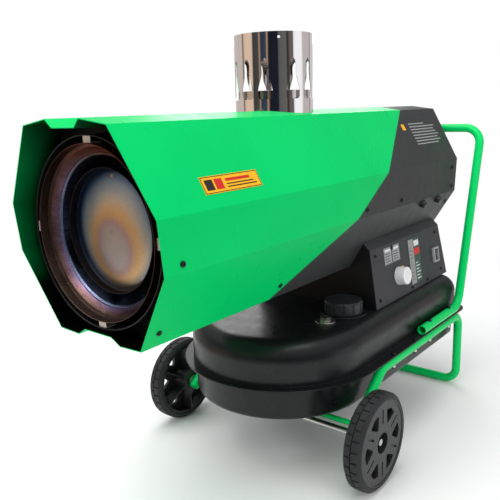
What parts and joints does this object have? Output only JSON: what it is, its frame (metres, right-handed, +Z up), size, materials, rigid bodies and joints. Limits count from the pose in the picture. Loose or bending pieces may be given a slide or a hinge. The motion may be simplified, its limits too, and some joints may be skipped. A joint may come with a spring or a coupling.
{
  "type": "indirect fired space heater",
  "caption": "Wheeled indirect fired space heater: octagonal casing with flue sleeve on a D shaped fuel tank, control panel, tubular stand and push handle.",
  "frame": {"origin": "bottom centre of the bounding box, on the floor", "axes": "+Z up, warm air outlet towards -Y, control panel on +X"},
  "size_m": [0.579, 1.1662, 0.906],
  "materials": {
    "green_paint": "gloss powder coat",
    "grey_paint": "satin powder coat",
    "tank_paint": "satin black enamel",
    "frame_paint": "satin black enamel",
    "black_sheet": "black heat proof paint",
    "heat_tinted_steel": "stainless steel tinted by heat",
    "flue_steel": "plain rolled steel",
    "polished_stainless": "polished stainless steel",
    "zinc_steel": "bright zinc",
    "black_plastic": "moulded, fine grain",
    "wheel_plastic": "moulded, fine grain",
    "tyre_rubber": "matt rubber",
    "seal_rubber": "matt rubber",
    "white_plastic": "moulded, semi gloss",
    "switch_grey": "moulded, semi gloss",
    "plate_grey": "printed film",
    "plate_yellow": "printed film",
    "plate_name": "printed film",
    "brass": "turned",
    "copper_pipe": "drawn pipe",
    "ceramic_white": "glazed",
    "cast_aluminium": "cast and turned",
    "board_green": "lacquered board",
    "potting_black": "cast resin"
  },
  "bodies": {
    "heater": {"axle": "zinc_steel", "axle_washers": "zinc_steel", "burner_air_box": "black_sheet", "burner_nozzle": "brass", "cable_glands": "black_plastic", "casing_screws": "zinc_steel", "circuit_board": "board_green", "combustion_drum": "heat_tinted_steel", "control_panel": "grey_paint", "draft_sleeve": "polished_stainless", "drain_plug": "zinc_steel", "drum_dome": "heat_tinted_steel", "duct_liner": "black_sheet", "fan_motor": "cast_aluminium", "feed_pipe": "copper_pipe", "filler_neck": "tank_paint", "flame_tube": "heat_tinted_steel", "flue_spigot": "flue_steel", "frame_bolts": "zinc_steel", "frame_nuts": "zinc_steel", "frame_tube": "green_paint", "front_casing": "green_paint", "front_plate": "black_sheet", "fuel_gauge": "zinc_steel", "fuel_pump": "brass", "gas_crossover": "heat_tinted_steel", "grey_plates": "plate_grey", "handle_tube": "green_paint", "heat_exchanger": "heat_tinted_steel", "ignition_electrodes": "ceramic_white", "ignition_transformer": "potting_black", "inner_straps": "heat_tinted_steel", "intake_guard": "frame_paint", "motor_bracket": "frame_paint", "name_plate": "plate_name", "panel_screws": "zinc_steel", "rear_casing": "grey_paint", "rear_plate": "black_sheet", "service_panel": "grey_paint", "spacer_clips": "zinc_steel", "split_pins": "zinc_steel", "suction_pipe": "copper_pipe", "support_housing": "black_sheet", "switch_bezel": "switch_grey", "tank_lower": "tank_paint", "tank_upper": "tank_paint", "thermostat": "black_plastic", "yellow_plates": "plate_yellow"},
    "right_wheel": {"right_tyre": "tyre_rubber", "right_rim": "wheel_plastic"},
    "left_wheel": {"left_tyre": "tyre_rubber", "left_rim": "wheel_plastic"},
    "fan": {"motor_shaft": "zinc_steel", "fan_blades": "cast_aluminium", "blower_wheel": "cast_aluminium"},
    "cap_seal_body": {"cap_seal": "seal_rubber"},
    "cap": {"fuel_cap": "black_plastic"},
    "dial": {"thermostat_knob": "white_plastic"},
    "rocker": {"switch_rocker": "black_plastic"},
    "float": {"gauge_float": "black_plastic"}
  },
  "joints": [
    {"name": "right_wheel_spin", "type": "hinge", "parent": "heater", "child": "right_wheel", "pos_m": [0.27, -0.10506, 0.1015], "axis": [1, 0, 0], "continuous": true},
    {"name": "left_wheel_spin", "type": "hinge", "parent": "heater", "child": "left_wheel", "pos_m": [-0.27, -0.10506, 0.1015], "axis": [1, 0, 0], "continuous": true},
    {"name": "fan_spin", "type": "hinge", "parent": "heater", "child": "fan", "pos_m": [0, 0.31694, 0.573], "axis": [0, 1, 0], "continuous": true},
    {"name": "cap_lift", "type": "slide", "parent": "heater", "child": "cap_seal_body", "axis": [0, 0, 1], "range_m": [0, 0.05]},
    {"name": "cap_turn", "type": "hinge", "parent": "cap_seal_body", "child": "cap", "pos_m": [0.115, 0.03494, 0.32], "axis": [0, 0, 1], "range_deg": [0, 90]},
    {"name": "dial_turn", "type": "hinge", "parent": "heater", "child": "dial", "pos_m": [0.16421, 0.20894, 0.358], "axis": [0.9894, 0, 0.1455], "range_deg": [-270, 0]},
    {"name": "rocker_tilt", "type": "hinge", "parent": "heater", "child": "rocker", "pos_m": [0.16189, 0.42694, 0.36685], "axis": [0, 1, 0], "range_deg": [0, 20]},
    {"name": "float_swing", "type": "hinge", "parent": "heater", "child": "float", "pos_m": [0.115, -0.04106, 0.271], "axis": [0, 1, 0], "range_deg": [-55, 8]}
  ]
}
